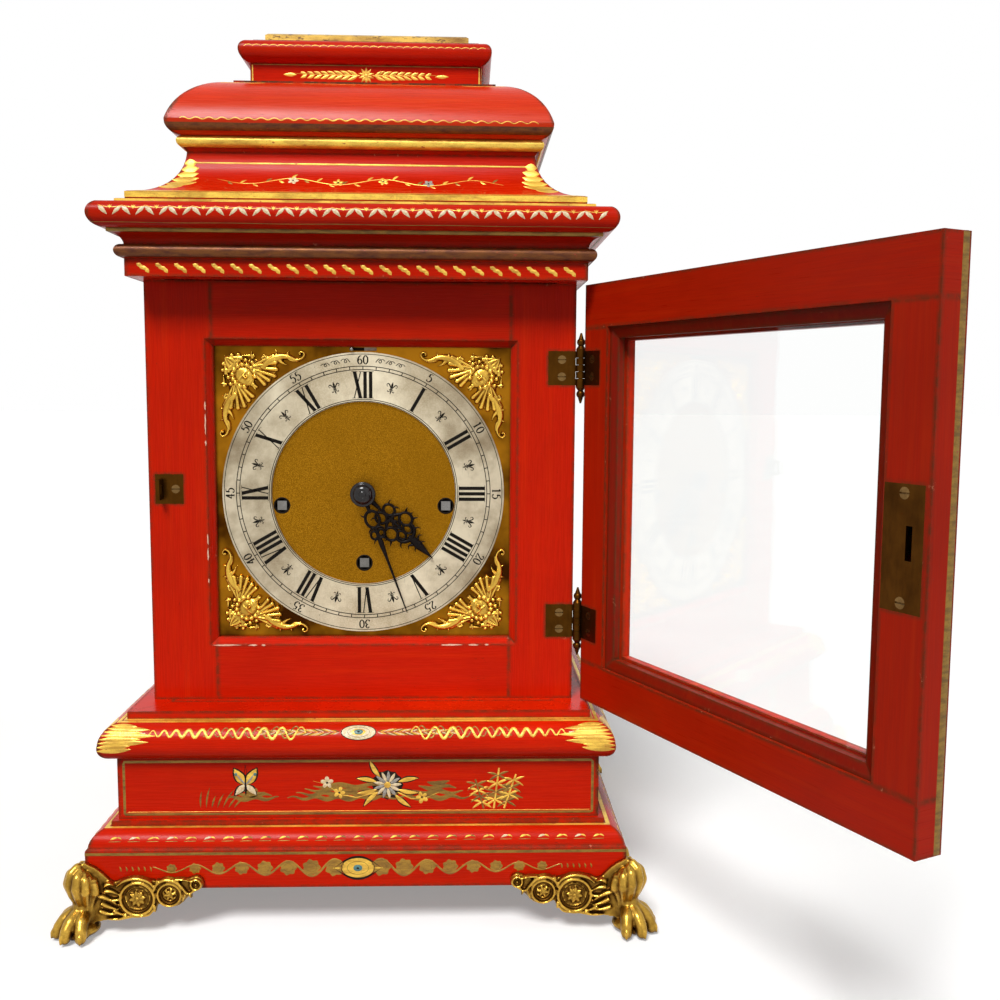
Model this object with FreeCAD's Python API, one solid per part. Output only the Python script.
import FreeCAD, Part
import math
import os

V = FreeCAD.Vector
X = V(1, 0, 0)
Y = V(0, 1, 0)
Z = V(0, 0, 1)

# ---- driving sizes, mm -------------------------------------------------------
# Origin: the middle of the case's underside; the feet reach below it. +X right, +Y back, +Z up.

CASE_W = 251.4            # outside width of the case sides
CASE_D = 192.0            # closed front door's face to closed back door's face
CASE_H = 248.6            # height of the case between the mouldings
DOOR_T = 14.9             # thickness of both doors
DOOR_GAP = 1.6            # gap between a closed door and its frame
BOARD_T = 14.0            # side boards
FRAME_T = 12.0            # front and rear frames

FOOT_LIFT = 26.2          # floor to the plinth's underside
PLINTH_H = 35.0
FRIEZE_H = 36.8
BASE_TORUS_H = 25.4
CORNICE_H = 39.2
CAVETTO_H = 43.6
CUSHION_H = 38.0
CAP_BLOCK_H = 12.8
CAP_MOULD_H = 14.0
CAP_PLATE_H = 6.0

PLINTH_OVER = 28.4        # how far each stage stands out from the case
FRIEZE_OVER = 13.6
BASE_TORUS_OVER = 22.0
CORNICE_OVER = 19.7
STEP_OVER = 7.7
CAVETTO_OVER = -24.6
CUSHION_OVER = -14.4
CAP_BLOCK_OVER = -55.9
CAP_MOULD_OVER = -49.7
CAP_PLATE_OVER = -63.7

DIAL_SIDE = 178.0         # square dial plate
DIAL_T = 2.5
DIAL_LIP_SIDE = 1.5       # how far the frame laps over the dial, at the sides and above and below
DIAL_LIP_END = 2.0
APERTURE_BEVEL = 4.0
RING_MARGIN = 3.0         # chapter ring's edge inside the opening
RING_BAND = 29.2          # chapter ring's width
RING_T = 1.5
RING_BACK = 5.4           # ring's face behind the frame's face
WIND_HOLE_R = 4.5
WIND_X = 49.0             # winding arbors, from the dial's centre
WIND_Z = -7.5
GOING_Z = -42.2
MINUTE_LEN = 76.0
HOUR_LEN = 57.0
MINUTE_AT = 160.0         # degrees clockwise from twelve
HOUR_AT = 133.4
BOSS_R = 7.8

DOOR_PROUD = 2.6          # how far the front door's free edge stands past the case's side
DOOR_CLEAR = 1.0          # above and below each door
STILE_W = 24.0
TOP_RAIL_H = 25.0
BOTTOM_RAIL_H = 23.8
GLASS_LIP = 8.0
GLASS_LIP_T = 4.9         # wood in front of the glass
GLASS_T = 2.5
BEAD_W = 6.5
BEAD_BACK = 1.9           # bead's face behind the door's inside face
OPEN_ANGLE = 115.3        # front door as stored

HINGE_H = 20.0
HINGE_FROM_BASE = 48.0    # hinge middles, from the case's lower and upper ends
HINGE_FROM_TOP = 49.1
LEAF_W = 16.2
LEAF_T = 1.5
KNUCKLE_R = 2.9
PIN_R = 1.3
KNUCKLE_FIT = 0.1         # knuckles clear of the case's side
PIN_OUT = KNUCKLE_R + KNUCKLE_FIT
RUN_FIT = 0.06            # radial clearance of turning pieces

SCREW_R = 2.5
SCREW_SHANK_R = 1.2
SCREW_LEN = 7.0

PLATE_HW = 86.0           # movement plates, from the dial's centre
PLATE_LOW = -102.0
PLATE_HIGH = 76.0
PLATE_T = 3.0
FRONT_PLATE_Y = 29.5      # front plate's face behind the frame's face
PLATE_SPACE = 59.0
PENDULUM_LEN = 165.0
BOB_R = 18.0
SWING = 4.0

# ---- derived levels ----------------------------------------------------------

HW = CASE_W / 2
HD = CASE_D / 2
APERTURE_HW = DIAL_SIDE / 2 - DIAL_LIP_SIDE
APERTURE_HH = DIAL_SIDE / 2 - DIAL_LIP_END
RING_R = APERTURE_HH - RING_MARGIN
RING_IN_R = RING_R - RING_BAND
Z_PLINTH = 0.0
Z_FRIEZE = Z_PLINTH + PLINTH_H
Z_BASE = Z_FRIEZE + FRIEZE_H
Z_CASE = Z_BASE + BASE_TORUS_H
Z_TOP = Z_CASE + CASE_H
Z_CAVETTO = Z_TOP + CORNICE_H
Z_CUSHION = Z_CAVETTO + CAVETTO_H
Z_CAP = Z_CUSHION + CUSHION_H
Z_CAP_MOULD = Z_CAP + CAP_BLOCK_H
Z_CAP_PLATE = Z_CAP_MOULD + CAP_MOULD_H
ZD = Z_CASE + CASE_H / 2
FRONT_Y = -(HD - DOOR_T - DOOR_GAP)
BACK_Y = -FRONT_Y
DOOR_IN_Y = FRONT_Y - DOOR_GAP
PIN_X = HW + PIN_OUT
PIN_Y = FRONT_Y - DOOR_GAP / 2
RING_Y = FRONT_Y + RING_BACK
DIAL_Y = RING_Y + RING_T
DIAL_BACK_Y = DIAL_Y + DIAL_T
FP_Y = FRONT_Y + FRONT_PLATE_Y
FP_BACK = FP_Y + PLATE_T
BP_Y = FP_BACK + PLATE_SPACE
BP_BACK = BP_Y + PLATE_T

pieces = {}


# ---- helpers -----------------------------------------------------------------

def box(x0, x1, y0, y1, z0, z1):
    """A box between two corners."""
    return Part.makeBox(x1 - x0, y1 - y0, z1 - z0, V(x0, y0, z0))


def rod(x, z, y0, y1, r):
    """A cylinder along Y; z counts from the dial's centre."""
    return Part.makeCylinder(r, y1 - y0, V(x, y0, ZD + z), Y)


def cone_rod(x, z, y0, y1, r0, r1):
    """A cone along Y; z counts from the dial's centre."""
    return Part.makeCone(r0, r1, y1 - y0, V(x, y0, ZD + z), Y)


def prism_y(points, y0, y1):
    """A polygon of (x, z) points, extruded along Y."""
    wire = Part.makePolygon([V(x, y0, z) for x, z in points + points[:1]])
    return Part.Face(wire).extrude(V(0, y1 - y0, 0))


def prism_z(points, z0, z1):
    """A polygon of (x, y) points, extruded along Z."""
    wire = Part.makePolygon([V(x, y, z0) for x, y in points + points[:1]])
    return Part.Face(wire).extrude(V(0, 0, z1 - z0))


def joined(shapes):
    """One solid from overlapping shapes."""
    out = shapes[0]
    for s in shapes[1:]:
        out = out.fuse(s)
    return out.removeSplitter()


def cut_all(shape, tools):
    """The shape less each tool."""
    for t in tools:
        shape = shape.cut(t)
    return shape


def turned(shape, angle, centre, axis):
    """A turned copy."""
    out = shape.copy()
    out.rotate(centre, axis, angle)
    return out


def mirrored_x(shape):
    """A copy mirrored across the middle plane."""
    return shape.mirror(V(0, 0, 0), X)


def mirrored_y(shape):
    """A copy mirrored front to back."""
    return shape.mirror(V(0, 0, 0), Y)


def profile_edges(profile, z0, height, make):
    """Edges of a moulding's outer line. Heights in the profile are shares of the stage."""
    edges = []
    last = None
    for step in profile:
        end = make(step[-2], z0 + step[-1] * height)
        if step[0] == "start":
            first = end
        elif step[0] == "line":
            edges.append(Part.makeLine(last, end))
        else:
            middle = make(step[1], z0 + step[2] * height)
            edges.append(Part.Arc(last, middle, end).toShape())
        last = end
    return edges, first, last


def moulding(profile, z0, height, inner):
    """Four mitred lengths round the case; inner is the overhang of their inside faces."""
    members = []
    reach = 60.0
    for along_x in (True, False):
        half = HD if along_x else HW

        def make(over, z):
            if along_x:
                return V(-(HW + reach), -(half + over), z)
            return V(half + over, -(HD + reach), z)

        edges, first, last = profile_edges(profile, z0, height, make)
        top_in = make(inner, last.z)
        low_in = make(inner, first.z)
        edges.append(Part.makeLine(last, top_in))
        edges.append(Part.makeLine(top_in, low_in))
        edges.append(Part.makeLine(low_in, first))
        face = Part.Face(Part.Wire(edges))
        if along_x:
            bar = face.extrude(V(2 * (HW + reach), 0, 0))
            a = HW + reach
            b = HD + reach
            c = HW + inner
            d = HD + inner
            wedge = prism_z([(-a, -b), (a, -b), (c, -d), (-c, -d)], z0, z0 + height)
        else:
            bar = face.extrude(V(0, 2 * (HD + reach), 0))
            a = HW + reach
            b = HD + reach
            c = HW + inner
            d = HD + inner
            wedge = prism_z([(a, -b), (a, b), (c, d), (c, -d)], z0, z0 + height)
        member = bar.common(wedge)
        members.append(member)
        other = mirrored_y(member) if along_x else mirrored_x(member)
        members.append(other)
    return members


def block(profile, z0, height):
    """A solid stage with a moulded edge on all four sides."""
    def front(over, z):
        return V(HW + over, -(HD + 60), z)

    def side(over, z):
        return V(-(HW + 60), HD + over, z)

    solids = []
    for make, flip, push in ((front, X, Y), (side, Y, X)):
        edges, first, last = profile_edges(profile, z0, height, make)
        right = Part.Wire(edges)
        left = right.mirror(V(0, 0, 0), flip)
        if flip == X:
            top = Part.makeLine(last, V(-last.x, last.y, last.z))
            low = Part.makeLine(V(-first.x, first.y, first.z), first)
            depth = V(0, 2 * (HD + 60), 0)
        else:
            top = Part.makeLine(last, V(last.x, -last.y, last.z))
            low = Part.makeLine(V(first.x, -first.y, first.z), first)
            depth = V(2 * (HW + 60), 0, 0)
        loop = Part.Wire(Part.__sortEdges__(right.Edges + [top] + left.Edges + [low]))
        solids.append(Part.Face(loop).extrude(depth))
    return solids[0].common(solids[1])


def screw(x, y, z, out):
    """A slotted countersunk screw, its head's face at the point, facing out."""
    head = Part.makeCone(SCREW_R, SCREW_SHANK_R, LEAF_T, V(x, y, z), out * -1)
    shank = Part.makeCylinder(SCREW_SHANK_R, SCREW_LEN, V(x, y, z), out * -1)
    return head.fuse(shank).removeSplitter()


def slotted(body, x, y, z):
    """The screw with its slot, cut only once the hole has been made from it."""
    slot = box(x - SCREW_R, x + SCREW_R, y - 0.5, y + 0.5, z - 0.35, z + 0.35)
    return body.cut(slot)


def wheel(x, z, y0, y1, module, teeth, tooth_at, fill, reach, root=1.1, bore=0.0):
    """A toothed wheel along Y. tooth_at is the angle of one tooth's middle, from +X to +Z."""
    pitch_r = module * teeth / 2
    tip_r = pitch_r + reach * module
    root_r = pitch_r - root * module
    step = 2 * math.pi / teeth
    start = math.radians(tooth_at)
    points = []
    for i in range(teeth):
        a = start + i * step
        for share, r in ((-0.62, root_r), (-0.5, pitch_r), (-0.2, tip_r),
                         (0.2, tip_r), (0.5, pitch_r), (0.62, root_r)):
            t = a + share * fill * step
            points.append((x + r * math.cos(t), ZD + z + r * math.sin(t)))
    body = prism_y(points, y0, y1)
    if bore:
        body = body.cut(rod(x, z, y0 - 1, y1 + 1, bore))
    return body


def crossed(body, x, z, y0, y1, hub_r, rim_r, arms, arm_w):
    """The wheel with its web pierced, leaving arms."""
    web = rod(x, z, y0 - 1, y1 + 1, rim_r).cut(rod(x, z, y0 - 2, y1 + 2, hub_r))
    for i in range(arms):
        arm = box(x, x + rim_r + 2, y0 - 2, y1 + 2, ZD + z - arm_w / 2, ZD + z + arm_w / 2)
        web = web.cut(turned(arm, 360.0 * i / arms + 45, V(x, 0, ZD + z), Y))
    return body.cut(web)


# ---- the case ----------------------------------------------------------------

plinth_profile = [
    ("start", PLINTH_OVER, 0.0),
    ("line", PLINTH_OVER, 0.63),
    ("line", PLINTH_OVER - 1.2, 0.66),
    ("arc", PLINTH_OVER - 2.6, 0.79, PLINTH_OVER - 8.4, 0.92),
    ("line", PLINTH_OVER - 11.6, 0.92),
    ("line", PLINTH_OVER - 11.6, 1.0),
]
frieze_profile = [
    ("start", FRIEZE_OVER, 0.0),
    ("line", FRIEZE_OVER, 1.0),
]
base_torus_profile = [
    ("start", BASE_TORUS_OVER - 8.0, 0.0),
    ("arc", BASE_TORUS_OVER - 0.9, 0.14, BASE_TORUS_OVER, 0.38),
    ("arc", BASE_TORUS_OVER - 3.2, 0.67, BASE_TORUS_OVER - 11.6, 0.82),
    ("line", BASE_TORUS_OVER - 13.4, 0.82),
    ("line", BASE_TORUS_OVER - 13.4, 1.0),
]
band = CORNICE_OVER - 15.4
cornice_profile = [
    ("start", band, 0.0),
    ("line", band, 0.25),
    ("line", band + 1.4, 0.26),
    ("arc", band + 4.4, 0.35, band + 1.4, 0.44),
    ("line", band, 0.45),
    ("arc", band + 2.0, 0.55, band + 7.2, 0.60),
    ("line", band + 7.2, 0.65),
    ("arc", CORNICE_OVER, 0.79, CORNICE_OVER - 10.2, 1.0),
]
cavetto_profile = [
    ("start", STEP_OVER, 0.0),
    ("line", STEP_OVER, 0.06),
    ("line", STEP_OVER - 4.4, 0.075),
    ("line", STEP_OVER - 4.4, 0.17),
    ("line", STEP_OVER - 10.7, 0.205),
    ("arc", STEP_OVER - 25.0, 0.40, CAVETTO_OVER, 0.80),
    ("line", CAVETTO_OVER + 1.4, 0.85),
    ("arc", CAVETTO_OVER + 4.8, 0.93, CAVETTO_OVER + 2.0, 1.0),
]
cushion_profile = [
    ("start", CUSHION_OVER - 6.4, 0.0),
    ("arc", CUSHION_OVER - 1.4, 0.08, CUSHION_OVER, 0.21),
    ("arc", CUSHION_OVER - 9.4, 0.64, CUSHION_OVER - 33.0, 0.965),
    ("line", CUSHION_OVER - 33.0, 1.0),
]
cap_block_profile = [
    ("start", CAP_BLOCK_OVER, 0.0),
    ("line", CAP_BLOCK_OVER, 1.0),
]
cap_mould_profile = [
    ("start", CAP_MOULD_OVER - 5.0, 0.0),
    ("arc", CAP_MOULD_OVER - 1.2, 0.20, CAP_MOULD_OVER, 0.50),
    ("arc", CAP_MOULD_OVER - 1.6, 0.78, CAP_MOULD_OVER - 5.4, 0.92),
    ("line", CAP_MOULD_OVER - 8.0, 0.92),
    ("line", CAP_MOULD_OVER - 8.0, 1.0),
]
cap_plate_profile = [
    ("start", CAP_PLATE_OVER - 1.0, 0.0),
    ("line", CAP_PLATE_OVER, 0.2),
    ("line", CAP_PLATE_OVER, 0.8),
    ("line", CAP_PLATE_OVER - 1.6, 1.0),
]

plinth_inner = PLINTH_OVER - 20.0
base_inner = -12.0
pieces["base_plinth"] = moulding(plinth_profile, Z_PLINTH, PLINTH_H, plinth_inner)
pieces["base_frieze"] = moulding(frieze_profile, Z_FRIEZE, FRIEZE_H, FRIEZE_OVER - 18.0)
pieces["base_torus"] = moulding(base_torus_profile, Z_BASE, BASE_TORUS_H, base_inner)
pieces["cornice"] = moulding(cornice_profile, Z_TOP, CORNICE_H, base_inner)
pieces["caddy_cavetto"] = moulding(cavetto_profile, Z_CAVETTO, CAVETTO_H, CAVETTO_OVER - 15.0)
pieces["caddy_cushion"] = moulding(cushion_profile, Z_CUSHION, CUSHION_H, CAP_BLOCK_OVER - 10.0)
pieces["cap_block"] = [block(cap_block_profile, Z_CAP, CAP_BLOCK_H)]
pieces["cap_moulding"] = [block(cap_mould_profile, Z_CAP_MOULD, CAP_MOULD_H)]
pieces["cap_plate"] = [block(cap_plate_profile, Z_CAP_PLATE, CAP_PLATE_H)]

px = HW + plinth_inner
py = HD + plinth_inner
pieces["bottom_board"] = [box(-px, px, -py, py, Z_PLINTH, Z_PLINTH + 8.0)]
px = HW + base_inner
py = HD + base_inner
pieces["floor_board"] = [box(-px, px, -py, py, Z_CASE - 12.0, Z_CASE)]

# Sides, each with an arched opening for its fret.
FRET_LOW = Z_CASE + 37.0
FRET_HIGH = Z_TOP - 18.8
FRET_HALF = 42.0
FRET_RIM = 6.0
FRET_PROUD = 2.3
FRET_FIT = 0.15


def arch(half, low, high, x0, x1):
    """A round-headed panel across the case's side."""
    spring = high - half
    body = box(x0, x1, -half, half, low, spring)
    head = Part.makeCylinder(half, x1 - x0, V(x0, 0, spring), X)
    return body.fuse(head).removeSplitter()


side_board = box(HW - BOARD_T, HW, FRONT_Y + FRAME_T, BACK_Y - FRAME_T, Z_CASE, Z_TOP)
side_hole = arch(FRET_HALF - FRET_RIM, FRET_LOW + FRET_RIM, FRET_HIGH - FRET_RIM,
                 HW - BOARD_T - 1, HW + 1)
side_board = side_board.cut(side_hole)

rim = arch(FRET_HALF, FRET_LOW, FRET_HIGH, HW, HW + FRET_PROUD)
rim = rim.cut(arch(FRET_HALF - FRET_RIM - 1.2, FRET_LOW + FRET_RIM + 1.2,
                   FRET_HIGH - FRET_RIM - 1.2, HW - 1, HW + FRET_PROUD + 1))
sheet = arch(FRET_HALF - FRET_RIM - 0.6, FRET_LOW + FRET_RIM + 0.6, FRET_HIGH - FRET_RIM - 0.6,
             HW - 2.6, HW - 1.2)
holes = []
rows = 11
row_step = (FRET_HIGH - FRET_LOW - 3 * FRET_RIM) / rows
for row in range(rows):
    count = 4 if row % 2 == 0 else 3
    z = FRET_LOW + 1.5 * FRET_RIM + (row + 0.5) * row_step
    for i in range(count):
        y = (i - (count - 1) / 2) * 16.0
        if z > FRET_HIGH - 28 and abs(y) > 17:
            continue
        quad = [(-5.6, 0), (0, -row_step * 0.40), (5.6, 0), (0, row_step * 0.40)]
        wire = Part.makePolygon([V(HW - 4, y + a, z + b) for a, b in quad + quad[:1]])
        holes.append(Part.Face(wire).extrude(V(4, 0, 0)))
sheet = sheet.cut(Part.makeCompound(holes))
fret_edge = arch(FRET_HALF - FRET_RIM - FRET_FIT, FRET_LOW + FRET_RIM + FRET_FIT,
                 FRET_HIGH - FRET_RIM - FRET_FIT, HW - 2.6, HW)
fret_edge = fret_edge.cut(arch(FRET_HALF - FRET_RIM - 1.2, FRET_LOW + FRET_RIM + 1.2,
                               FRET_HIGH - FRET_RIM - 1.2, HW - 3, HW + 1))
side_fret = joined([rim, fret_edge, sheet])
pieces["side_boards"] = [side_board, mirrored_x(side_board)]
pieces["side_frets"] = [side_fret, mirrored_x(side_fret)]

# Front frame: rebated at the back for the dial, bevelled at the front.
dial_half = DIAL_SIDE / 2
lip_back = RING_Y + RING_T - 0.1
frame = box(-HW, HW, FRONT_Y, FRONT_Y + FRAME_T, Z_CASE, Z_TOP)
frame = frame.cut(box(-APERTURE_HW, APERTURE_HW, FRONT_Y - 1, FRONT_Y + FRAME_T + 1,
                      ZD - APERTURE_HH, ZD + APERTURE_HH))
frame = frame.cut(box(-dial_half - 0.6, dial_half + 0.6, lip_back, FRONT_Y + FRAME_T + 1,
                      ZD - dial_half - 0.6, ZD + dial_half + 0.6))
outer_w = APERTURE_HW + APERTURE_BEVEL
outer_h = APERTURE_HH + APERTURE_BEVEL


def rectangle(half_w, half_h, y):
    """A rectangle round the dial's centre."""
    return Part.makePolygon([V(-half_w, y, ZD - half_h), V(half_w, y, ZD - half_h),
                             V(half_w, y, ZD + half_h), V(-half_w, y, ZD + half_h),
                             V(-half_w, y, ZD - half_h)])


bevel = Part.makeLoft([rectangle(outer_w + 1, outer_h + 1, FRONT_Y - 1),
                       rectangle(APERTURE_HW - 1, APERTURE_HH - 1, FRONT_Y + APERTURE_BEVEL + 1)],
                      True, True)
frame = frame.cut(bevel)

hinge_levels = [Z_CASE + HINGE_FROM_BASE, Z_TOP - HINGE_FROM_TOP]
SCREW_PITCH = 5.0
LEAF_IN = HW - LEAF_W
leaf_mid = HW - LEAF_W / 2


def knuckle(z0, z1, r):
    """One knuckle on the front hinge's pin axis."""
    return Part.makeCylinder(r, z1 - z0, V(PIN_X, PIN_Y, z0), Z)


def hinge(z, case_side):
    """A butt hinge's leaf with its share of five knuckles."""
    low = z - HINGE_H / 2
    share = HINGE_H / 5
    y0 = FRONT_Y if case_side else DOOR_IN_Y - LEAF_T
    leaf = box(LEAF_IN, HW, y0, y0 + LEAF_T, low, low + HINGE_H)
    shapes = [leaf]
    bore = PIN_R if case_side else PIN_R + RUN_FIT
    for i in range(5):
        if (i % 2 == 0) != case_side:
            continue
        gap = 0.1 if 0 < i < 5 else 0.0
        a = low + i * share + (0.0 if i == 0 else gap)
        b = low + (i + 1) * share - (0.0 if i == 4 else 0.1)
        neck_y = (y0, y0 + LEAF_T)
        shapes.append(knuckle(a, b, KNUCKLE_R))
        shapes.append(box(HW - 0.5, PIN_X - PIN_R - 0.1, neck_y[0], neck_y[1], a, b))
    body = joined(shapes)
    return body.cut(knuckle(low - 1, low + HINGE_H + 1, bore))


def hinge_pin(z):
    """The pin and its two turned finials."""
    low = z - HINGE_H / 2
    high = z + HINGE_H / 2
    shapes = [knuckle(low - 1.0, high + 1.0, PIN_R)]
    for end, way in ((low, -1), (high, 1)):
        def at(d):
            return V(PIN_X, PIN_Y, end + way * d)
        up = Z * way
        shapes.append(Part.makeCylinder(KNUCKLE_R, 1.4, at(0.0), up))
        shapes.append(Part.makeCone(KNUCKLE_R * 0.95, KNUCKLE_R * 0.5, 2.0, at(1.4), up))
        shapes.append(Part.makeSphere(KNUCKLE_R * 0.86, at(5.2)))
        shapes.append(Part.makeCone(KNUCKLE_R * 0.55, 0.5, 3.6, at(7.0), up))
    return joined(shapes)


case_leaves = []
door_leaves = []
pins = []
case_screws = []
door_screws = []
rear_leaves = []
leaf_pockets = []
screw_shapes = []


def put_screw(store, x, y, z, out, turn_back=False):
    """Adds a screw and returns its outline for the holes."""
    outline = screw(x, y, z, out)
    store.append(slotted(outline, x, y, z))
    return outline


FACE_OUT = V(0, -1, 0)
DOOR_OUT = V(0, 1, 0)
door_cuts = []
front_cuts = []
for z in hinge_levels:
    low = z - HINGE_H / 2
    front_cuts.append(box(LEAF_IN, HW + 1, FRONT_Y - 1, FRONT_Y + LEAF_T, low, low + HINGE_H))
    door_cuts.append(box(LEAF_IN, HW + 1, DOOR_IN_Y - LEAF_T, DOOR_IN_Y + 1, low, low + HINGE_H))
    case_leaf = hinge(z, True)
    door_leaf = hinge(z, False)
    for dz in (-SCREW_PITCH, SCREW_PITCH):
        a = put_screw(case_screws, leaf_mid, FRONT_Y, z + dz, FACE_OUT)
        b = put_screw(door_screws, leaf_mid, DOOR_IN_Y, z + dz, DOOR_OUT)
        case_leaf = case_leaf.cut(a)
        door_leaf = door_leaf.cut(b)
        front_cuts.append(a)
        door_cuts.append(b)
    case_leaves.append(case_leaf)
    door_leaves.append(door_leaf)
    pins.append(hinge_pin(z))

# The rear door hangs on the same hinges, turned half round the case's middle.
MIDDLE = V(0, 0, 0)
rear_case_leaves = [turned(s, 180, MIDDLE, Z) for s in case_leaves]
rear_door_leaves = [turned(s, 180, MIDDLE, Z) for s in door_leaves]
rear_pins = [turned(s, 180, MIDDLE, Z) for s in pins]
rear_case_screws = [turned(s, 180, MIDDLE, Z) for s in case_screws]
rear_cuts = [turned(s, 180, MIDDLE, Z) for s in front_cuts]
rear_door_screws = [turned(s, 180, MIDDLE, Z) for s in door_screws]
rear_door_cuts = [turned(s, 180, MIDDLE, Z) for s in door_cuts]

# The catch plate: flush in the frame, with a pierced lip for the lock's bolt.
LOCK_Z = ZD + 2.8
CATCH_X0 = -HW + 3.7
CATCH_W = 16.5
CATCH_H = 17.6
LIP_X = CATCH_X0 + 3.0
LIP_T = 1.6
LIP_OUT = 8.0
catch = box(CATCH_X0, CATCH_X0 + CATCH_W, FRONT_Y, FRONT_Y + LEAF_T,
            LOCK_Z - CATCH_H / 2, LOCK_Z + CATCH_H / 2)
lip = box(LIP_X, LIP_X + LIP_T, FRONT_Y - LIP_OUT, FRONT_Y + 0.5, LOCK_Z - 6, LOCK_Z + 6)
lip = lip.cut(box(LIP_X - 1, LIP_X + LIP_T + 1, FRONT_Y - LIP_OUT + 1.8, FRONT_Y - 3.2,
                  LOCK_Z - 3.5, LOCK_Z + 3.5))
front_cuts.append(box(CATCH_X0, CATCH_X0 + CATCH_W, FRONT_Y - 1, FRONT_Y + LEAF_T,
                      LOCK_Z - CATCH_H / 2, LOCK_Z + CATCH_H / 2))
catch_screw = put_screw(case_screws, CATCH_X0 + CATCH_W - 4.6, FRONT_Y, LOCK_Z, FACE_OUT)
front_cuts.append(catch_screw)
pieces["door_catch"] = [catch.fuse(lip).removeSplitter().cut(catch_screw)]

frame = cut_all(frame, front_cuts)
inside = box(-APERTURE_HW, APERTURE_HW, FRONT_Y - 5, FRONT_Y + FRAME_T + 5, Z_CASE - 5, Z_TOP + 5)
pieces["front_stiles"] = list(frame.cut(inside).Solids)
pieces["front_rails"] = list(frame.common(inside).Solids)

# Rear frame: a plain opening for the movement.
REAR_HW = HW - 19.7
REAR_LOW = Z_CASE + 18.0
REAR_HIGH = Z_TOP - 18.0
rear = box(-HW, HW, BACK_Y - FRAME_T, BACK_Y, Z_CASE, Z_TOP)
rear = rear.cut(box(-REAR_HW, REAR_HW, BACK_Y - 20, BACK_Y + 1, REAR_LOW, REAR_HIGH))
rear = cut_all(rear, rear_cuts)
inside = box(-REAR_HW, REAR_HW, BACK_Y - 20, BACK_Y + 5, Z_CASE - 5, Z_TOP + 5)
pieces["rear_frame"] = list(rear.cut(inside).Solids) + list(rear.common(inside).Solids)

pieces["case_hinge_leaves"] = case_leaves + rear_case_leaves
pieces["hinge_pins"] = pins + rear_pins
pieces["case_screws"] = case_screws + rear_case_screws

# ---- the feet ----------------------------------------------------------------

corner_x = HW + PLINTH_OVER
corner_y = HD + PLINTH_OVER


def ball(cx, cy, cz, r):
    """A sphere."""
    return Part.makeSphere(r, V(cx, cy, cz))


def bracket_plan():
    """The scrolled bracket's outline; distances from the plinth's corner, inwards and up."""
    k = FOOT_LIFT / 26.2
    return [(3, 40 * k), (16, 36 * k), (30, 34 * k), (48, 32 * k), (60, 34.5 * k), (67, 34 * k),
            (68, 29 * k), (60, 25 * k), (48, 16.5 * k), (38, 13 * k), (30, 11 * k), (16, 9 * k),
            (3, 10 * k)]


def foot_front_right():
    """Paw, leg and the two scrolled brackets of one corner, built up from the floor."""
    k = FOOT_LIFT / 26.2
    shapes = []
    paw = ball(corner_x + 1.0, -corner_y - 1.0, 7.0 * k, 11.5)
    leg = Part.makeCone(8.6, 11.6, 22.0 * k, V(corner_x - 2, -corner_y + 2, 9 * k), Z)
    knee = ball(corner_x - 4.0, -corner_y + 4.0, 29.6 * k, 13.4)
    shapes += [paw, leg, knee]
    for turn in (-66, -22, 22, 66):
        t = math.radians(-45 + turn)
        cx = corner_x + 1.0 + 13.4 * math.cos(t)
        cy = -corner_y - 1.0 + 13.4 * math.sin(t)
        shapes.append(ball(cx, cy, 4.6 * k, 5.8))
    plan = bracket_plan()
    front = prism_y([(corner_x - a, b) for a, b in plan], -corner_y - 5.0, -corner_y + 12.0)
    wire = Part.makePolygon([V(corner_x - 12.0, -corner_y + a, b) for a, b in plan + plan[:1]])
    side = Part.Face(wire).extrude(V(17.0, 0, 0))
    shapes += [front, side]
    for a, b, r in ((30.1, 22.0 * k, 11.0), (48.1, 24.0 * k, 7.5), (64.0, 30.0 * k, 4.4)):
        shapes.append(Part.makeCylinder(r, 19.0, V(corner_x - a, -corner_y - 7.0, b), Y))
        shapes.append(Part.makeCylinder(r, 19.0, V(corner_x - 12.0, -corner_y + a, b), X))
    body = joined(shapes)
    body = body.cut(box(-corner_x, corner_x, -corner_y, corner_y, FOOT_LIFT, FOOT_LIFT + 60))
    body = body.cut(box(0, corner_x + 60, -corner_y - 60, 0, -40, 0))
    body.translate(V(0, 0, -FOOT_LIFT))
    return body


foot = foot_front_right()
pieces["paw_feet"] = [foot, mirrored_x(foot), mirrored_y(foot), mirrored_y(mirrored_x(foot))]

# ---- the front door, built shut and turned open at the end ---------------------

DX0 = -HW - DOOR_PROUD
DX1 = HW
DZ0 = Z_CASE + DOOR_CLEAR
DZ1 = Z_TOP - DOOR_CLEAR
SX0 = DX0 + STILE_W
SX1 = DX1 - STILE_W
SZ0 = DZ0 + BOTTOM_RAIL_H
SZ1 = DZ1 - TOP_RAIL_H
DOOR_Y = -HD
REBATE_Y = DOOR_Y + GLASS_LIP_T
door = box(DX0, DX1, DOOR_Y, DOOR_IN_Y, DZ0, DZ1)
door = door.cut(box(SX0 + GLASS_LIP, SX1 - GLASS_LIP, DOOR_Y - 1, DOOR_IN_Y + 1,
                    SZ0 + GLASS_LIP, SZ1 - GLASS_LIP))
door = door.cut(box(SX0, SX1, REBATE_Y, DOOR_IN_Y + 1, SZ0, SZ1))

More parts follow.
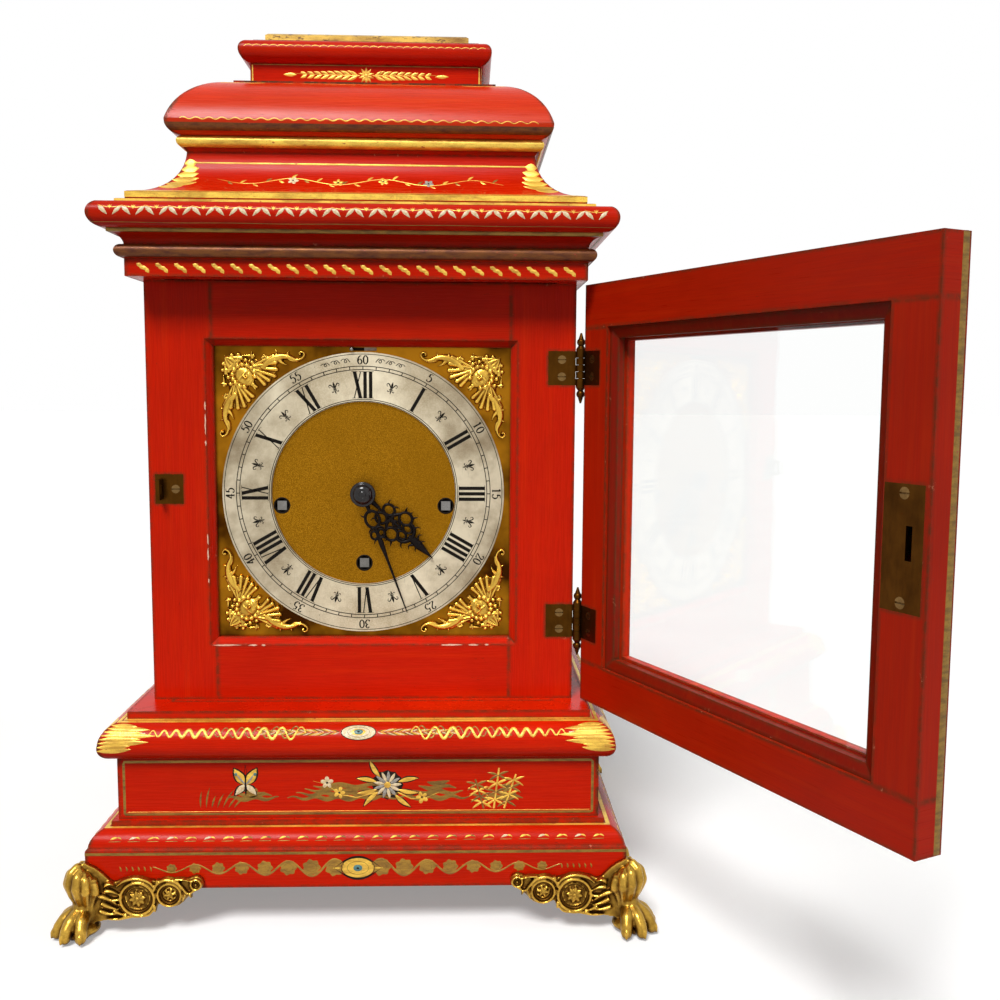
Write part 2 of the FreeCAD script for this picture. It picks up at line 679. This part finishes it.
LOCK_X0 = DX0 + 3.0
LOCK_W = 20.5
LOCK_H = 51.5
LOCK_MID = ZD + 0.6
BOLT_Y = FRONT_Y - LIP_OUT + 2.1
BOLT_T = 2.2
BOLT_TRAVEL = 5.0
plate_box = (LOCK_X0, LOCK_X0 + LOCK_W, DOOR_IN_Y - LEAF_T, DOOR_IN_Y,
             LOCK_MID - LOCK_H / 2, LOCK_MID + LOCK_H / 2)
door_cuts.append(box(plate_box[0], plate_box[1], plate_box[2], DOOR_IN_Y + 1,
                     plate_box[4], plate_box[5]))
pocket = box(LOCK_X0 + 1.5, LOCK_X0 + LOCK_W - 1.5, DOOR_IN_Y - 9.0, DOOR_IN_Y - 1,
             LOCK_Z - 12, LOCK_Z + 12)
door_cuts.append(pocket)
lock_plate = box(*plate_box)
lock_plate = lock_plate.cut(box(LIP_X - 0.8, LIP_X + LIP_T + 0.8, DOOR_IN_Y - 3, DOOR_IN_Y + 1,
                                LOCK_Z - 7, LOCK_Z + 7))
for dz in (-1, 1):
    a = put_screw(door_screws, LOCK_X0 + LOCK_W / 2, DOOR_IN_Y, LOCK_MID + dz * 22.0, DOOR_OUT)
    lock_plate = lock_plate.cut(a)
    door_cuts.append(a)
guide_x = LIP_X + LIP_T + 3.4
for side in (-1, 1):
    z0 = LOCK_Z + side * 3.6 - (0 if side > 0 else 1.6)
    guide = box(guide_x, guide_x + 7.0, DOOR_IN_Y - 6.2, DOOR_IN_Y - 1.2, z0, z0 + 1.6)
    lock_plate = lock_plate.fuse(guide)
pieces["lock_plate"] = [lock_plate.removeSplitter()]
bolt_tip = LIP_X + LIP_T + 1.2
bolt = box(bolt_tip, bolt_tip + 9.6, BOLT_Y, BOLT_Y + BOLT_T, LOCK_Z - 3.0, LOCK_Z + 3.0)
pieces["lock_bolt"] = [bolt]

KEY_X = LOCK_X0 + LOCK_W / 2
keyway = box(KEY_X - 1.2, KEY_X + 1.2, DOOR_Y - 3, DOOR_IN_Y - 8, LOCK_Z - 6.0, LOCK_Z)
key_round = Part.makeCylinder(2.2, 12.0, V(KEY_X, DOOR_Y - 3, LOCK_Z), Y)
keyway = keyway.fuse(key_round)
door_cuts.append(keyway)
door = cut_all(door, door_cuts)
stile_zones = Part.makeCompound([
    box(DX0 - 5, SX0 + GLASS_LIP, DOOR_Y - 5, DOOR_IN_Y + 5, SZ0, SZ1),
    box(SX1 - GLASS_LIP, DX1 + 5, DOOR_Y - 5, DOOR_IN_Y + 5, SZ0, SZ1)])
pieces["door_rails"] = list(door.cut(stile_zones).Solids)
pieces["door_stiles"] = list(door.common(stile_zones).Solids)

m = FreeCAD.Matrix()
m.scale(6.5, 1.0, 11.0)
plate = Part.makeCylinder(1.0, 1.2, V(0, 0, 0), Y).transformGeometry(m)
plate.translate(V(KEY_X, DOOR_Y - 1.2, LOCK_Z - 1.5))
pieces["key_escutcheon"] = [plate.cut(keyway)]

glass_y = REBATE_Y
pieces["door_glass"] = [box(SX0 + 0.3, SX1 - 0.3, glass_y, glass_y + GLASS_T, SZ0 + 0.3, SZ1 - 0.3)]


def glazing_bead(x0, x1, z0, z1, y0, y1, w):
    """Four mitred quarter-round beads inside a rebate."""
    beads = []
    cx = (x0 + x1) / 2
    cz = (z0 + z1) / 2
    for low in (True, False):
        z = z0 if low else z1
        way = 1 if low else -1
        pts = [V(x0, y0, z), V(x0, y0, z + way * w), V(x0, y1 - 1.6, z + way * w),
               V(x0, y1, z + way * 1.6), V(x0, y1, z), V(x0, y0, z)]
        bar = Part.Face(Part.makePolygon(pts)).extrude(V(x1 - x0, 0, 0))
        for end in (x0, x1):
            into = 1 if end == x0 else -1
            tip = [(end - into, z - way), (end - into, z + way * (w + 1)),
                   (end + into * (w + 1), z + way * (w + 1))]
            bar = bar.cut(prism_y([(a, b) for a, b in tip], y0 - 1, y1 + 1))
        beads.append(bar)
    for left in (True, False):
        x = x0 if left else x1
        way = 1 if left else -1
        pts = [V(x, y0, z0), V(x + way * w, y0, z0), V(x + way * w, y1 - 1.6, z0),
               V(x + way * 1.6, y1, z0), V(x, y1, z0), V(x, y0, z0)]
        bar = Part.Face(Part.makePolygon(pts)).extrude(V(0, 0, z1 - z0))
        for end in (z0, z1):
            into = 1 if end == z0 else -1
            tip = [(x - way, end - into), (x + way * (w + 1), end - into),
                   (x + way * (w + 1), end + into * (w + 1))]
            bar = bar.cut(prism_y([(a, b) for a, b in tip], y0 - 1, y1 + 1))
        beads.append(bar)
    return beads


pieces["door_glass_beads"] = glazing_bead(SX0, SX1, SZ0, SZ1, glass_y + GLASS_T,
                                          DOOR_IN_Y - BEAD_BACK, BEAD_W)
pieces["door_hinge_leaves"] = door_leaves
pieces["door_screws"] = door_screws

# ---- the rear door -----------------------------------------------------------

REAR_STILE = 41.7
RDZ0 = DZ0
RDZ1 = DZ1
rear_door = box(-HW, HW, BACK_Y + DOOR_GAP, HD, RDZ0, RDZ1)
gx = HW - REAR_STILE
gz0 = RDZ0 + 34.0
gz1 = RDZ1 - 34.0
rear_door = rear_door.cut(box(-gx, gx, BACK_Y, HD + 1, gz0, gz1))
rear_door = rear_door.cut(box(-gx - 6, gx + 6, BACK_Y, BACK_Y + DOOR_GAP + 8, gz0 - 6, gz1 + 6))
LATCH_X = REAR_HW - 8.0
latch_hole = Part.makeCylinder(2.0 + RUN_FIT, 40.0, V(LATCH_X, BACK_Y - 5, ZD), Y)
rear_door = rear_door.cut(latch_hole)
rear_door = cut_all(rear_door, rear_door_cuts)
over_rail = box(-HW - 5, HW + 5, BACK_Y - 5, HD + 5, gz0, gz1)
pieces["rear_door_frame"] = list(rear_door.cut(over_rail).Solids) + \
    list(rear_door.common(over_rail).Solids)
pieces["rear_door_glass"] = [box(-gx - 5.7, gx + 5.7, BACK_Y + DOOR_GAP + 4.4,
                                 BACK_Y + DOOR_GAP + 8, gz0 - 5.7, gz1 + 5.7)]
pieces["rear_door_hinge_leaves"] = rear_door_leaves + rear_door_screws

TONGUE_LEN = 13.0
spindle = Part.makeCylinder(2.0, HD + 6 - (BACK_Y - FRAME_T - 4.0),
                            V(LATCH_X, BACK_Y - FRAME_T - 4.0, ZD), Y)
tongue = box(LATCH_X - 3, LATCH_X + 3, BACK_Y - FRAME_T - 4.0, BACK_Y - FRAME_T - 0.6,
             ZD - TONGUE_LEN, ZD + 3)
washer = Part.makeCylinder(5.0, 1.0, V(LATCH_X, HD + 0.1, ZD), Y)
knob = Part.makeCone(3.0, 6.5, 5.0, V(LATCH_X, HD + 1.1, ZD), Y)
knob_face = Part.makeCylinder(6.5, 2.0, V(LATCH_X, HD + 6.1, ZD), Y)
pieces["rear_latch"] = [joined([spindle, tongue, washer, knob, knob_face])]

# ---- the dial ----------------------------------------------------------------

PIPE_R = 4.4
dial = box(-dial_half, dial_half, DIAL_Y, DIAL_BACK_Y, ZD - dial_half, ZD + dial_half)
dial = dial.cut(rod(0, 0, DIAL_Y - 1, DIAL_BACK_Y + 1, PIPE_R + 0.4))
for x, z in ((WIND_X, WIND_Z), (-WIND_X, WIND_Z), (0, GOING_Z)):
    dial = dial.cut(rod(x, z, DIAL_Y - 1, DIAL_BACK_Y + 1, WIND_HOLE_R))
SLOT_Z = (RING_R + APERTURE_HH) / 2 + 0.2
LEVER_X = -6.5
LEVER_TRAVEL = 13.0
slot = box(LEVER_X - 1.5, LEVER_X + LEVER_TRAVEL + 1.5, DIAL_Y - 1, DIAL_BACK_Y + 1,
           ZD + SLOT_Z - 1.0, ZD + SLOT_Z + 1.0)
dial = dial.cut(slot)
pieces["dial_plate"] = [dial]
ring = rod(0, 0, RING_Y, DIAL_Y, RING_R).cut(rod(0, 0, RING_Y - 1, DIAL_Y + 1, RING_IN_R))
pieces["chapter_ring"] = [ring]

spandrels = []
far_x = APERTURE_HW - 0.9
far_z = APERTURE_HH - 0.8
for sx in (-1, 1):
    for sz in (-1, 1):
        pts = [(far_x, far_z), (far_x - 46.6, far_z), (far_x - 52.6, far_z - 4.2),
               (far_x - 36.6, far_z - 20.2), (far_x - 26.6, far_z - 26.2),
               (far_x - 20.6, far_z - 36.2), (far_x - 4.6, far_z - 52.2), (far_x, far_z - 46.2)]
        pts = [(sx * a, ZD + sz * b) for a, b in pts]
        leafage = prism_y(pts, RING_Y - 0.6, DIAL_Y)
        leafage = leafage.cut(rod(0, 0, RING_Y - 2, DIAL_Y + 1, RING_R + 0.6))
        spandrels.append(leafage)
pieces["spandrels"] = spandrels

lever_pin = Part.makeCylinder(0.7, DIAL_BACK_Y + 1.0 - (RING_Y - 0.6),
                              V(LEVER_X, RING_Y - 0.6, ZD + SLOT_Z), Y)
lever_ball = Part.makeSphere(1.3, V(LEVER_X, RING_Y - 1.2, ZD + SLOT_Z))
lever_bar = box(LEVER_X - 4.0, LEVER_X + 4.0, DIAL_BACK_Y + 0.4, DIAL_BACK_Y + 1.8,
                ZD + SLOT_Z - 2.6, ZD + SLOT_Z + 2.6)
pieces["silent_lever"] = [joined([lever_pin, lever_ball, lever_bar])]

# ---- the movement ------------------------------------------------------------

THIRD_X = -20.6
THIRD_Z = math.sqrt(31.85 ** 2 - THIRD_X ** 2)
ESCAPE_Z = 43.1
PALLET_Z = ESCAPE_Z + 20.0
MOTION_D = 23.4
GREAT_MODULE = -GOING_Z * 2 / (96 + 8)
SIDE_BARREL = (62.0, -62.0)
BARREL_SHAFT_R = 3.0
GREAT_R = GREAT_MODULE * (96 / 2 + 0.9)
GOING_AWAY = GREAT_R + BARREL_SHAFT_R + 1.4
GOING_DOWN = math.radians(63.0)
GOING_BARREL = (GOING_AWAY * math.cos(GOING_DOWN), GOING_Z - GOING_AWAY * math.sin(GOING_DOWN))
PIVOT_R = 1.5
CENTRE_R = 1.7
SQUARE_TIP = DIAL_Y + 0.6
FUSEE_R = 3.9

front_plate = box(-PLATE_HW, PLATE_HW, FP_Y, FP_BACK, ZD + PLATE_LOW, ZD + PLATE_HIGH)
back_plate = box(-PLATE_HW, PLATE_HW, BP_Y, BP_BACK, ZD + PLATE_LOW, ZD + PLATE_HIGH)
fusees = ((0, GOING_Z), (-WIND_X, WIND_Z), (WIND_X, WIND_Z))
barrels = (GOING_BARREL, (-SIDE_BARREL[0], SIDE_BARREL[1]), SIDE_BARREL)
for x, z in fusees:
    front_plate = front_plate.cut(rod(x, z, FP_Y - 1, FP_BACK + 1, FUSEE_R + RUN_FIT))
    back_plate = back_plate.cut(rod(x, z, BP_Y - 1, BP_BACK + 1, PIVOT_R + RUN_FIT))
small_pivots = list(barrels) + [(THIRD_X, THIRD_Z), (0, ESCAPE_Z), (0, PALLET_Z)]
for x, z in small_pivots:
    front_plate = front_plate.cut(rod(x, z, FP_Y - 1, FP_BACK + 1, PIVOT_R + RUN_FIT))
    back_plate = back_plate.cut(rod(x, z, BP_Y - 1, BP_BACK + 1, PIVOT_R + RUN_FIT))
front_plate = front_plate.cut(rod(0, 0, FP_Y - 1, FP_BACK + 1, CENTRE_R + RUN_FIT))
back_plate = back_plate.cut(rod(0, 0, BP_Y - 1, BP_BACK + 1, CENTRE_R + RUN_FIT))
motion_post = rod(0, MOTION_D, FP_Y - 14.0, FP_Y + 1, 1.0)
front_plate = front_plate.fuse(motion_post)

COCK_Z = PALLET_Z + 4.0
ROD_Y = BP_BACK + 19.0
cock = joined([box(-7, 7, BP_BACK - 0.5, ROD_Y + 5, ZD + COCK_Z, ZD + COCK_Z + 5),
               box(-16, 16, BP_BACK - 0.5, BP_BACK + 3, ZD + COCK_Z, ZD + PLATE_HIGH)])
back_plate = joined([back_plate, cock])
pieces["front_plate"] = [front_plate.removeSplitter()]
pieces["back_plate"] = [back_plate]

pillars = []
for x, z in ((-78, -94), (78, -94), (-78, 68), (78, 68)):
    k = (FP_BACK + BP_Y) / 2
    shapes = [rod(x, z, FP_BACK, BP_Y, 3.4), rod(x, z, FP_BACK, FP_BACK + 3, 5.2),
              rod(x, z, BP_Y - 3, BP_Y, 5.2), rod(x, z, k - 2.5, k + 2.5, 5.0)]
    pillars.append(joined(shapes))
for x in (-70, 70):
    for z in (-70, 60):
        pillars.append(rod(x, z, DIAL_BACK_Y, FP_Y, 2.5))
pieces["plate_pillars"] = pillars


def fusee(x, z, great_at_front):
    """A fusee on its arbor, with the winding square in front."""
    side = 5.5
    square = box(x - side / 2, x + side / 2, SQUARE_TIP, FP_Y - 8, ZD + z - side / 2, ZD + z + side / 2)
    shapes = [square, rod(x, z, FP_Y - 9, BP_Y - 3, FUSEE_R), rod(x, z, BP_Y - 4, BP_BACK, PIVOT_R)]
    if great_at_front:
        y = FP_BACK + 9.6
        radii = (17.0, 15.2, 13.6, 12.2, 11.0, 10.0)
    else:
        y = FP_BACK + 12.0
        radii = (10.0, 11.0, 12.2, 13.6, 15.2, 17.0)
    for i, r in enumerate(radii):
        shapes.append(rod(x, z, y + 6 * i, y + 6 * i + 4.6, r))
        shapes.append(rod(x, z, y + 6 * i + 4.6, y + 6 * i + 6, r - 1.6))
    return joined(shapes)


def barrel(x, z):
    """A spring barrel on its arbor."""
    y = FP_BACK + 13.0
    shapes = [rod(x, z, FP_Y, BP_BACK, PIVOT_R), rod(x, z, FP_BACK + 1, BP_Y - 1, BARREL_SHAFT_R),
              rod(x, z, y, y + 36, 18.0), rod(x, z, y - 1.2, y + 1, 18.8),
              rod(x, z, y + 35, y + 37.2, 18.8)]
    return joined(shapes)


pieces["going_fusee"] = [fusee(0, GOING_Z, True)]
pieces["strike_fusee"] = [fusee(-WIND_X, WIND_Z, False)]
pieces["chime_fusee"] = [fusee(WIND_X, WIND_Z, False)]
pieces["going_barrel"] = [barrel(*GOING_BARREL)]
pieces["strike_barrel"] = [barrel(-SIDE_BARREL[0], SIDE_BARREL[1])]
pieces["chime_barrel"] = [barrel(*SIDE_BARREL)]

# The great wheel runs free on the going fusee's arbor and drives the centre pinion.
GREAT_Y = FP_BACK + 4.0
WHEEL_FILL = 0.50
LEAF_FILL = 0.34
great = wheel(0, GOING_Z, GREAT_Y, GREAT_Y + 2.5, GREAT_MODULE, 96, 90.0, WHEEL_FILL, 0.9)
great = crossed(great, 0, GOING_Z, GREAT_Y, GREAT_Y + 2.5, 12.0, 32.0, 4, 6.0)
pieces["great_wheel"] = [great.cut(rod(0, GOING_Z, GREAT_Y - 1, GREAT_Y + 4, FUSEE_R + RUN_FIT))]

CENTRE_Y = BP_Y - 4.4
third_way = math.degrees(math.atan2(THIRD_Z, THIRD_X))
centre_wheel = wheel(0, 0, CENTRE_Y, CENTRE_Y + 1.5, 0.7, 84, third_way, WHEEL_FILL, 0.9)
centre_wheel = crossed(centre_wheel, 0, 0, CENTRE_Y, CENTRE_Y + 1.5, 6.0, 25.5, 4, 4.0)
pinion8 = wheel(0, 0, GREAT_Y - 1.0, GREAT_Y + 3.5, GREAT_MODULE, 8, -90.0 + 22.5, LEAF_FILL, 0.5)
HAND_Y = RING_Y - 4.5
centre_arbor = rod(0, 0, HAND_Y - 3.0, BP_BACK + 1, CENTRE_R)
CANNON_R = 2.8
CANNON_Y = FP_Y - 4.6
cannon_pipe = rod(0, 0, HAND_Y - 0.5, FP_Y - 0.6, CANNON_R)
cannon_wheel = wheel(0, 0, CANNON_Y, CANNON_Y + 2.0, MOTION_D / 30, 30, 90.0, 0.46, 0.6)
pieces["centre_arbor"] = [joined([centre_arbor, pinion8, centre_wheel, cannon_pipe, cannon_wheel])]

minute_wheel = wheel(0, MOTION_D, CANNON_Y, CANNON_Y + 2.0, MOTION_D / 30, 30, -90.0 + 6.0, 0.46, 0.6)
minute_pinion = wheel(0, MOTION_D, CANNON_Y - 5.0, CANNON_Y + 0.5, 0.6, 6, -90.0 + 30.0, LEAF_FILL, 0.5)
minute_body = joined([minute_wheel, minute_pinion])
pieces["minute_wheel"] = [minute_body.cut(rod(0, MOTION_D, CANNON_Y - 8, CANNON_Y + 6, 1.0 + RUN_FIT))]
HOUR_WHEEL_Y = CANNON_Y - 4.0
hour_wheel = wheel(0, 0, HOUR_WHEEL_Y, HOUR_WHEEL_Y + 1.8, 0.6, 72, 90.0, WHEEL_FILL, 0.9)
HOUR_Y = HAND_Y + 1.7
hour_pipe = rod(0, 0, HOUR_Y, HOUR_WHEEL_Y + 1.8, PIPE_R)
hour_pipe = joined([hour_wheel, hour_pipe])
pieces["hour_wheel"] = [hour_pipe.cut(rod(0, 0, HOUR_Y - 1, HOUR_WHEEL_Y + 4, CANNON_R + RUN_FIT))]

third_y = FP_BACK + 37.0
third = wheel(THIRD_X, THIRD_Z, third_y, third_y + 1.2, 0.6, 86, 0.0, WHEEL_FILL, 0.7)
third = crossed(third, THIRD_X, THIRD_Z, third_y, third_y + 1.2, 5.0, 22.5, 4, 3.5)
pinion7 = wheel(THIRD_X, THIRD_Z, CENTRE_Y - 1.0, CENTRE_Y + 2.6, 0.7, 7,
                third_way + 180.0 + 180.0 / 7, LEAF_FILL, 0.5)
third_arbor = joined([rod(THIRD_X, THIRD_Z, FP_Y, BP_BACK, PIVOT_R), third, pinion7])
pieces["third_wheel"] = [third_arbor]

ESCAPE_Y = FP_BACK + 50.0
ESCAPE_R = 14.0


def escape_wheel():
    """Thirty pointed teeth raked one way, on a light rim."""
    points = []
    for i in range(30):
        a = 2 * math.pi * i / 30
        for turn, r in ((0.0, ESCAPE_R - 3.0), (0.08, ESCAPE_R), (0.11, ESCAPE_R), (0.17, ESCAPE_R - 3.0)):
            points.append((r * math.cos(a + turn), ZD + ESCAPE_Z + r * math.sin(a + turn)))
    body = prism_y(points, ESCAPE_Y, ESCAPE_Y + 1.2)
    body = crossed(body, 0, ESCAPE_Z, ESCAPE_Y, ESCAPE_Y + 1.2, 3.5, 9.4, 4, 2.2)
    return joined([body, rod(0, ESCAPE_Z, FP_Y, BP_BACK, 1.2),
                   rod(0, ESCAPE_Z, FP_Y, FP_BACK + 0.5, PIVOT_R),
                   rod(0, ESCAPE_Z, BP_Y - 0.5, BP_BACK, PIVOT_R)])


pieces["escape_wheel"] = [escape_wheel()]

nib_r = ESCAPE_R + 1.8
nib_x = nib_r * math.sin(math.radians(48))
nib_z = ESCAPE_Z + nib_r * math.cos(math.radians(48))
arms = []
for side in (-1, 1):
    pts = [(0, ZD + PALLET_Z + 3.2), (side * (nib_x + 3.4), ZD + nib_z + 4.5),
           (side * (nib_x + 2.6), ZD + nib_z - 0.6), (side * nib_x, ZD + nib_z),
           (side * (nib_x - 0.8), ZD + nib_z + 4.0), (0, ZD + PALLET_Z - 3.0)]
    arms.append(prism_y(pts, ESCAPE_Y, ESCAPE_Y + 1.2))
crutch_y = BP_BACK + 2.0
crutch = box(-1.2, 1.2, crutch_y, crutch_y + 1.4, ZD + PALLET_Z - 46, ZD + PALLET_Z)
fork = box(-3.4, 3.4, crutch_y, ROD_Y + 3, ZD + PALLET_Z - 47.4, ZD + PALLET_Z - 45)
fork = fork.cut(box(-1.5, 1.5, ROD_Y - 1.6, ROD_Y + 4, ZD + PALLET_Z - 50, ZD + PALLET_Z - 40))
pallets = joined(arms + [rod(0, PALLET_Z, FP_Y, crutch_y + 1.4, PIVOT_R), crutch, fork])
pieces["pallets"] = [pallets]

top = ZD + PALLET_Z
low = top - PENDULUM_LEN
bob = Part.makeCylinder(BOB_R, 4.0, V(0, ROD_Y - 2, low), Y)
for way in (-1, 1):
    bob = bob.fuse(Part.makeCone(BOB_R, 8.0, 2.2, V(0, ROD_Y + 2 * way, low), Y * way))
spring = box(-2.0, 2.0, ROD_Y - 0.3, ROD_Y + 0.3, top - 14, top + 3.4)
pendulum_rod = Part.makeCylinder(1.2, PENDULUM_LEN - 10, V(0, ROD_Y, low), Z)
nut = Part.makeCylinder(3.0, 2.5, V(0, ROD_Y, low - BOB_R - 1.5), Z)
pieces["pendulum"] = [joined([bob, spring, pendulum_rod, nut])]

# The hour bell on its stand over the back plate.
BELL_R = 40.0
bell_z = ZD + PLATE_HIGH + 36.0
cup = Part.makeSphere(BELL_R, V(0, 0, 0))
cup = cup.cut(Part.makeSphere(BELL_R - 2.0, V(0, 0, -0.6)))
cup = cup.cut(box(-60, 60, -60, 60, -60, 14.0))
cup.translate(V(0, BP_Y + PLATE_T / 2, bell_z - BELL_R))
post = Part.makeCylinder(1.4, 36.0, V(0, BP_Y + PLATE_T / 2, ZD + PLATE_HIGH), Z)
nut = Part.makeCylinder(4.0, 3.0, V(0, BP_Y + PLATE_T / 2, bell_z - 1.0), Z)
pieces["hour_bell"] = [joined([cup, post, nut])]

SEAT_Z = ZD + PLATE_LOW
seat_x = HW - BOARD_T
seat = box(-seat_x, seat_x, FP_Y - 8, BP_BACK + 6, SEAT_Z - 10, SEAT_Z)
bearer = box(seat_x - 15, seat_x, FP_Y - 8, BP_BACK + 6, Z_CASE, SEAT_Z - 10)
pieces["seat_board"] = [seat, bearer, mirrored_x(bearer)]

# ---- the hands ---------------------------------------------------------------


def hand_shape(length, widths, y0, y1, bore, holes_at):
    """A pierced hand pointing to twelve; widths are (share of length, half width) pairs."""
    right = [(w, length * s) for s, w in widths]
    left = [(-w, length * s) for s, w in reversed(widths)]
    pts = [(a, ZD + b) for a, b in right + left]
    body = prism_y(pts, y0, y1)
    body = body.fuse(rod(0, 0, y0, y1, 6.0)).removeSplitter()
    for s, half_w, half_h in holes_at:
        zc = ZD + length * s
        quad = [(0, zc - half_h), (half_w, zc), (0, zc + half_h), (-half_w, zc)]
        body = body.cut(prism_y(quad, y0 - 1, y1 + 1))
    return body.cut(rod(0, 0, y0 - 1, y1 + 1, bore))


hour_widths = [(0.0, 2.4), (0.16, 1.6), (0.26, 5.6), (0.36, 6.4), (0.46, 2.6), (0.52, 8.6),
               (0.62, 9.4), (0.72, 4.4), (0.78, 2.0), (0.86, 2.6), (0.92, 1.2), (1.0, 0.3)]
minute_widths = [(0.0, 2.2), (0.14, 1.3), (0.20, 3.4), (0.27, 3.6), (0.33, 1.3), (0.38, 3.0),
                 (0.45, 1.3), (0.80, 1.0), (1.0, 0.3)]
hour = hand_shape(HOUR_LEN, hour_widths, HOUR_Y, HOUR_Y + 1.3, CANNON_R + RUN_FIT,
                  [(0.33, 3.0, 4.0), (0.59, 5.0, 4.6)])
minute = hand_shape(MINUTE_LEN, minute_widths, HAND_Y - 1.3, HAND_Y, CENTRE_R, [(0.24, 1.5, 3.6)])
C = V(0, 0, ZD)
pieces["hour_hand"] = [turned(hour, HOUR_AT, C, Y)]
hour_wheel_piece = pieces["hour_wheel"][0]
pieces["hour_wheel"] = [hour_wheel_piece.cut(rod(0, 0, HOUR_Y - 1, HOUR_Y + 1.3, 9.0))]
pieces["minute_hand"] = [turned(minute, MINUTE_AT, C, Y)]
centre_piece = pieces["centre_arbor"][0]
centre_piece = centre_piece.cut(rod(0, 0, HAND_Y - 1.3, HAND_Y, 9.0).cut(
    rod(0, 0, HAND_Y - 1.3, HAND_Y, CENTRE_R)))
pieces["centre_arbor"] = [centre_piece]
dome = Part.makeSphere(9.4, V(0, HAND_Y - 1.3 + 5.6, ZD))
dome = dome.common(rod(0, 0, HAND_Y - 6.0, HAND_Y - 1.3, BOSS_R))
pieces["hand_boss"] = [dome.cut(rod(0, 0, HAND_Y - 3.0, HAND_Y, CENTRE_R))]

# ---- turn the front door open and write the pieces ----------------------------

front_door = ["door_rails", "door_stiles", "door_glass", "door_glass_beads", "door_hinge_leaves",
              "door_screws", "lock_plate", "lock_bolt", "key_escutcheon"]
for name in front_door:
    pieces[name] = [turned(s, OPEN_ANGLE, V(PIN_X, PIN_Y, 0), Z) for s in pieces[name]]

os.makedirs("parts", exist_ok=True)
for name, shapes in pieces.items():
    solids = []
    for s in shapes:
        solids += s.Solids
    whole = solids[0] if len(solids) == 1 else Part.makeCompound(solids)
    whole.exportStep("parts/" + name + ".step")
    good = all(s.isValid() for s in solids)
    print(name, len(solids), round(sum(s.Volume for s in solids)), good)
print(len(pieces))
